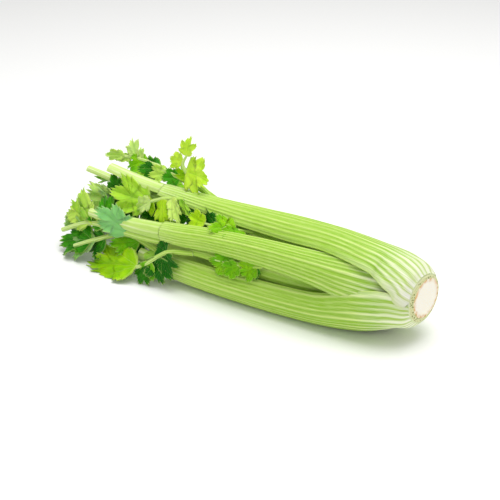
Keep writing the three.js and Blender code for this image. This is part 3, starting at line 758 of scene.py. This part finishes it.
def colour(hex_text):
    """An sRGB hex colour as a linear colour."""
    parts = [int(hex_text[k:k + 2], 16) / 255 for k in (1, 3, 5)]
    return tuple(p / 12.92 if p <= 0.04045 else ((p + 0.055) / 1.055) ** 2.4 for p in parts) + (1,)


def add(tree, kind, inputs=(), stops=(), **settings):
    """Adds a node. Each input is a value, or a node and its output. stops are a ramp's colours."""
    node = tree.nodes.new("ShaderNode" + kind)
    for name, value in settings.items():
        setattr(node, name, value)
    for socket, value in dict(inputs).items():
        if isinstance(value, tuple) and isinstance(value[0], bpy.types.Node):
            tree.links.new(value[0].outputs[value[1]], node.inputs[socket])
        else:
            node.inputs[socket].default_value = value
    for k, (place, shade) in enumerate(stops):
        elements = node.color_ramp.elements
        element = elements[k] if k < 2 else elements.new(place)
        element.position = place
        element.color = colour(shade) if isinstance(shade, str) else (shade, shade, shade, 1)
    return node


def begin_material(name):
    material = bpy.data.materials.new(name)
    material.use_nodes = True
    tree = material.node_tree
    tree.nodes.clear()
    return material, tree


def finish_material(tree, shade, rough, relief, depth, **fixed):
    """Joins colour, roughness and relief to the shader. depth is the relief's height in mm."""
    bump = add(tree, "Bump", {"Height": relief, "Strength": 1.0, "Distance": depth * MM})
    shader = add(tree, "BsdfPrincipled", {"Base Color": shade, "Roughness": rough, "Normal": (bump, 0)})
    for name, value in fixed.items():
        shader.inputs[name.replace("_", " ")].default_value = value
    add(tree, "OutputMaterial", {"Surface": (shader, 0)})


def make_stalk_skin():
    """Celery stalk skin: waxy, pale raised ribs over greener grooves, whitish towards the root.
    The ribs show as long pale lines, partly their own paler colour and partly a painted sheen along
    their crests, and fine fibres run along between them."""
    material, tree = begin_material("celery stalk skin")
    rib = (add(tree, "Attribute", attribute_name="rib"), 2)
    along_mm = (add(tree, "Attribute", attribute_name="along"), 2)
    margin = (add(tree, "Attribute", attribute_name="margin"), 2)
    inner = (add(tree, "Attribute", attribute_name="inner"), 2)
    skin_map = (add(tree, "UVMap", uv_map="skin"), 0)
    share = (add(tree, "Math", {0: along_mm, 1: 320.0}, operation="DIVIDE"), 0)
    groove = add(tree, "ValToRGB", {"Fac": share}, [
        (0.0, "#ccd694"), (1.0, "#c4e078"), (0.05, "#a4c448"), (0.12, "#86b61c"), (0.3, "#8cbc20"),
        (0.7, "#98c62c")])
    # The ridge colours are the ribs' own paler green with a painted sheen on their crests.
    ridge_and_sheen = add(tree, "ValToRGB", {"Fac": share}, [
        (0.0, "#fbfaf0"), (1.0, "#e8f4c4"), (0.07, "#f1f4dc"), (0.18, "#d2e48c"), (0.34, "#c2da74"),
        (0.7, "#c6de74")])
    streak_map = add(tree, "Mapping", {"Vector": skin_map, "Scale": (1.1, 0.03, 1)})
    streak = (add(tree, "TexNoise", {"Vector": (streak_map, 0), "Scale": 1.0, "Detail": 3.0}), 0)
    fibre_map = add(tree, "Mapping", {"Vector": skin_map, "Scale": (3.2, 0.12, 1)})
    fibre = (add(tree, "TexNoise", {"Vector": (fibre_map, 0), "Scale": 1.0, "Detail": 2.0}), 0)
    lift = add(tree, "MapRange", {0: streak, 1: 0.35, 2: 0.65, 3: -0.28, 4: 0.28})
    narrow = add(tree, "MapRange", {0: along_mm, 1: 8.0, 2: 70.0, 3: 0.7, 4: 2.4})
    ribbed = add(tree, "Math", {0: rib, 1: (narrow, 0)}, operation="POWER")
    # Where the rib mask is high, the ridge colours show, and with them the painted sheen along the
    # crests.
    lines = add(tree, "Math", {0: (ribbed, 0), 1: (lift, 0)}, operation="ADD", use_clamp=True)
    shade = add(tree, "Mix", {0: (lines, 0), 6: (groove, 0), 7: (ridge_and_sheen, 0)}, data_type="RGBA")
    fine = add(tree, "MapRange", {0: fibre, 1: 0.3, 2: 0.7, 3: 0.0, 4: 0.22})
    shade = add(tree, "Mix", {0: (fine, 0), 6: (shade, 2), 7: colour("#dff0a0")}, data_type="RGBA")
    near_root = add(tree, "MapRange", {0: along_mm, 1: 20.0, 2: 85.0, 3: 0.6, 4: 0.05})
    pale = add(tree, "Math", {0: margin, 1: (near_root, 0)}, operation="MULTIPLY")
    shade = add(tree, "Mix", {0: (pale, 0), 6: (shade, 2), 7: colour("#e4ecc0")}, data_type="RGBA")
    inside = add(tree, "Math", {0: inner, 1: 0.75}, operation="MULTIPLY")
    shade = add(tree, "Mix", {0: (inside, 0), 6: (shade, 2), 7: colour("#c0da62")}, data_type="RGBA")
    rough = add(tree, "MapRange", {0: streak, 1: 0.3, 2: 0.7, 3: 0.36, 4: 0.5})
    relief = add(tree, "Math", {0: fibre, 1: streak}, operation="ADD")
    finish_material(tree, (shade, 2), (rough, 0), (relief, 0), 0.12,
                    Specular_IOR_Level=0.3, Subsurface_Weight=0.2, Subsurface_Scale=0.004,
                    Subsurface_Radius=(0.8, 1.0, 0.3), IOR=1.4)
    return material


def make_cut_flesh():
    """Cut celery flesh: pale, moist and watery green, with darker dots where the strings end."""
    material, tree = begin_material("cut celery flesh")
    place = (add(tree, "TexCoord"), 3)
    grain = (add(tree, "TexNoise", {"Vector": place, "Scale": 700.0, "Detail": 3.0}), 0)
    strings = (add(tree, "TexVoronoi", {"Vector": place, "Scale": 420.0}), 0)
    shade = add(tree, "ValToRGB", {"Fac": grain}, [(0.3, "#c5d98a"), (0.7, "#e6edc4")])
    dots = add(tree, "MapRange", {0: strings, 1: 0.12, 2: 0.3, 3: 0.6, 4: 0.0})
    shade = add(tree, "Mix", {0: (dots, 0), 6: (shade, 0), 7: colour("#9db860")}, data_type="RGBA")
    rough = add(tree, "MapRange", {0: grain, 1: 0.3, 2: 0.7, 3: 0.3, 4: 0.45})
    finish_material(tree, (shade, 2), (rough, 0), grain, 0.15,
                    Specular_IOR_Level=0.5, Subsurface_Weight=0.2, Subsurface_Scale=0.004,
                    Subsurface_Radius=(1.0, 1.0, 0.5), IOR=1.36)
    return material


def make_leaf_blade():
    """Celery leaf: satin green with a fan of paler veins from the stem to the lobes, fine side
    veins between them, and a dull grey-green underside."""
    material, tree = begin_material("celery leaf")
    tone = (add(tree, "Attribute", attribute_name="tone"), 2)
    rim = (add(tree, "Attribute", attribute_name="rim"), 2)
    dull = (add(tree, "Attribute", attribute_name="dull"), 2)
    skin_map = add(tree, "SeparateXYZ", {0: (add(tree, "UVMap", uv_map="skin"), 0)})
    turn = add(tree, "Math", {0: (skin_map, 0), 1: (skin_map, 1)}, operation="ARCTAN2")
    far = add(tree, "VectorMath", {0: (add(tree, "UVMap", uv_map="skin"), 0)}, operation="LENGTH")
    # Five main veins fan out from the stem into the lobes.
    spread = math.radians(VEIN_SPREAD)
    turned = add(tree, "Math", {0: (turn, 0), 1: spread / 2}, operation="ADD")
    wrapped = add(tree, "Math", {0: (turned, 0), 1: spread, 2: 0.0}, operation="WRAP")
    off = add(tree, "Math", {0: (wrapped, 0), 1: spread / 2}, operation="SUBTRACT")
    off = add(tree, "Math", {0: (off, 0)}, operation="ABSOLUTE")
    away = add(tree, "Math", {0: (off, 0), 1: (far, 1)}, operation="MULTIPLY")
    thick = add(tree, "MapRange", {0: (far, 1), 1: 0.0, 2: 1.0, 3: 0.018, 4: 0.007})
    main = add(tree, "MapRange", {0: (away, 0), 1: 0.0, 2: (thick, 0), 3: 1.0, 4: 0.0},
               interpolation_type="SMOOTHSTEP")
    # Side veins leave the main ones at a slant.
    slant = add(tree, "Math", {0: (away, 0), 1: -1.5, 2: (far, 1)}, operation="MULTIPLY_ADD")
    slant = add(tree, "Math", {0: (slant, 0), 1: 9.0}, operation="MULTIPLY")
    slant = add(tree, "Math", {0: (slant, 0), 1: 0.5}, operation="PINGPONG")
    side = add(tree, "MapRange", {0: (slant, 0), 1: 0.0, 2: 0.14, 3: 0.4, 4: 0.0},
               interpolation_type="SMOOTHSTEP")
    veins = add(tree, "Math", {0: (main, 0), 1: (side, 0)}, operation="MAXIMUM")
    place = (add(tree, "TexCoord"), 3)
    patch = (add(tree, "TexNoise", {"Vector": place, "Scale": 90.0, "Detail": 3.0}), 0)
    grain = (add(tree, "TexNoise", {"Vector": place, "Scale": 900.0, "Detail": 2.0}), 0)
    shift = add(tree, "MapRange", {0: patch, 1: 0.3, 2: 0.7, 3: -0.1, 4: 0.1})
    level = add(tree, "Math", {0: tone, 1: (shift, 0)}, operation="ADD", use_clamp=True)
    # The tone's dark end is painted shade: leaves in the gaps and shadows are given deep green. The rest
    # is the leaves' own green to yellow-green.
    blade = add(tree, "ValToRGB", {"Fac": (level, 0)}, [
        (0.0, "#0a6200"), (1.0, "#ccf04c"), (0.25, "#409e00"), (0.5, "#7cbc00"), (0.75, "#a8d80c")])
    tips = add(tree, "MapRange", {0: rim, 1: 0.88, 2: 1.0, 3: 0.0, 4: 0.35})
    shade = add(tree, "Mix", {0: (tips, 0), 6: (blade, 0), 7: colour("#cfe868")}, data_type="RGBA")
    vein_share = add(tree, "Math", {0: (veins, 0), 1: 0.28}, operation="MULTIPLY")
    shade = add(tree, "Mix", {0: (vein_share, 0), 6: (shade, 2), 7: colour("#cfe67c")}, data_type="RGBA")
    below = add(tree, "ValToRGB", {"Fac": dull}, [(0.45, "#cce6a8"), (0.85, "#86c478")])
    shade = add(tree, "Mix", {0: dull, 6: (shade, 2), 7: (below, 0)}, data_type="RGBA")
    rough = add(tree, "MapRange", {0: grain, 1: 0.3, 2: 0.7, 3: 0.4, 4: 0.55})
    sunk = add(tree, "Math", {0: (veins, 0), 1: -0.7, 2: grain}, operation="MULTIPLY_ADD")
    finish_material(tree, (shade, 2), (rough, 0), (sunk, 0), 0.25,
                    Specular_IOR_Level=0.15, Subsurface_Weight=0.35, Subsurface_Scale=0.0025,
                    Subsurface_Radius=(0.7, 1.0, 0.2), IOR=1.4)
    return material


def make_crown_flesh():
    """Cut root flesh: cream and fibrous in the middle, browned along its uneven rim, then a ring of
    cut stalk bases, pale green with olive dots where the strings end."""
    material, tree = begin_material("cut root flesh")
    disc = (add(tree, "Attribute", attribute_name="disc"), 2)
    band = (add(tree, "Attribute", attribute_name="band"), 2)
    flank = (add(tree, "Attribute", attribute_name="flank"), 2)
    skin_map = (add(tree, "UVMap", uv_map="skin"), 0)
    grain = (add(tree, "TexNoise", {"Vector": skin_map, "Scale": 0.9, "Detail": 5.0}), 0)
    blot = (add(tree, "TexNoise", {"Vector": skin_map, "Scale": 0.22, "Detail": 3.0}), 0)
    cells = (add(tree, "TexVoronoi", {"Vector": skin_map, "Scale": 0.42, "Randomness": 0.7}), 0)
    middle = add(tree, "ValToRGB", {"Fac": grain}, [(0.3, "#fff4d8"), (0.7, "#fffef8")])
    # The rim of the middle is browned, unevenly.
    edge = add(tree, "MapRange", {0: disc, 1: 0.8, 2: 1.0, 3: 0.0, 4: 1.0})
    uneven = add(tree, "MapRange", {0: blot, 1: 0.4, 2: 0.62, 3: 0.15, 4: 1.0})
    browned = add(tree, "Math", {0: (edge, 0), 1: (uneven, 0)}, operation="MULTIPLY")
    shade = add(tree, "Mix", {0: (browned, 0), 6: (middle, 0), 7: colour("#d89a24")}, data_type="RGBA")
    ring = add(tree, "ValToRGB", {"Fac": grain}, [(0.3, "#c3c77e"), (0.7, "#e6e6b8")])
    dots = add(tree, "MapRange", {0: cells, 1: 0.28, 2: 0.42, 3: 0.9, 4: 0.0})
    ring = add(tree, "Mix", {0: (dots, 0), 6: (ring, 0), 7: colour("#6f7a2c")}, data_type="RGBA")
    in_band = add(tree, "MapRange", {0: band, 1: 0.05, 2: 0.2, 3: 0.0, 4: 1.0})
    shade = add(tree, "Mix", {0: (in_band, 0), 6: (shade, 2), 7: (ring, 2)}, data_type="RGBA")
    shade = add(tree, "Mix", {0: flank, 6: (shade, 2), 7: colour("#dfe3ae")}, data_type="RGBA")
    rough = add(tree, "MapRange", {0: grain, 1: 0.3, 2: 0.7, 3: 0.42, 4: 0.6})
    finish_material(tree, (shade, 2), (rough, 0), grain, 0.35,
                    Specular_IOR_Level=0.45, Subsurface_Weight=0.1, Subsurface_Scale=0.004,
                    Subsurface_Radius=(1.0, 0.9, 0.5), IOR=1.36)
    return material


def make_floor_paint():
    """Matt white studio card: even and almost without gloss, so only soft shadows show on it."""
    material, tree = begin_material("white studio card")
    place = (add(tree, "TexCoord"), 3)
    tooth = (add(tree, "TexNoise", {"Vector": place, "Scale": 260.0, "Detail": 2.0}), 0)
    shade = add(tree, "ValToRGB", {"Fac": tooth}, [(0.0, "#f7f7f5"), (1.0, "#fbfbfa")])
    rough = add(tree, "MapRange", {0: tooth, 1: 0.0, 2: 1.0, 3: 0.85, 4: 0.95})
    finish_material(tree, (shade, 0), (rough, 0), tooth, 0.02, Specular_IOR_Level=0.1)
    return material


# The studio: floor, lights and the photograph's viewpoint

VIEW_TURN, VIEW_RISE = math.radians(34), math.radians(26)
VIEW_TARGET = Vector((0.00783, 0.01277, 0.03354))
VIEW_DISTANCE = 1.11

def make_studio():
    bm = begin(())
    bmesh.ops.create_grid(bm, x_segments=8, y_segments=8, size=3)
    mesh = bpy.data.meshes.new("floor")
    bm.to_mesh(mesh)
    bm.free()
    mesh.materials.append(make_floor_paint())
    floor = bpy.data.objects.new("floor", mesh)
    bpy.context.scene.collection.objects.link(floor)
    bpy.context.scene.view_settings.view_transform = "Standard"

    world = bpy.data.worlds.new("soft studio")
    world.use_nodes = True
    world.node_tree.nodes["Background"].inputs[0].default_value = (1, 1, 1, 1)
    world.node_tree.nodes["Background"].inputs[1].default_value = 0.5
    bpy.context.scene.world = world

    for name, place, size, power in (
            ("top softbox", (0.1, 0.1, 1.4), 1.5, 19),
            ("front fill", (0.9, -1.5, 1.2), 1.6, 5)):
        light = bpy.data.lights.new(name, "AREA")
        light.shape = "DISK"
        light.size = size
        light.energy = power
        lamp = bpy.data.objects.new(name, light)
        lamp.location = place
        lamp.rotation_euler = (Vector(place) - Vector((0, 0, 0.04))).to_track_quat("Z", "Y").to_euler()
        bpy.context.scene.collection.objects.link(lamp)

    flat = math.cos(VIEW_RISE)
    away = Vector((math.sin(VIEW_TURN) * flat, -math.cos(VIEW_TURN) * flat, math.sin(VIEW_RISE)))
    data = bpy.data.cameras.new("camera")
    data.lens = 85
    data.sensor_width = 36
    camera = bpy.data.objects.new("camera", data)
    camera.location = VIEW_TARGET + away * VIEW_DISTANCE
    camera.rotation_euler = away.to_track_quat("Z", "Y").to_euler()
    bpy.context.scene.collection.objects.link(camera)
    bpy.context.scene.camera = camera


make_studio()
stalk_skin = make_stalk_skin()
cut_flesh = make_cut_flesh()
leaf_blade = make_leaf_blade()
crown_flesh = make_crown_flesh()

make_crown()
for number, (name, form) in enumerate(STALKS.items()):
    make_stalk(name, form, number)
for number, (name, form) in enumerate(SPRAYS.items()):
    make_spray(name, form, 17 * number)
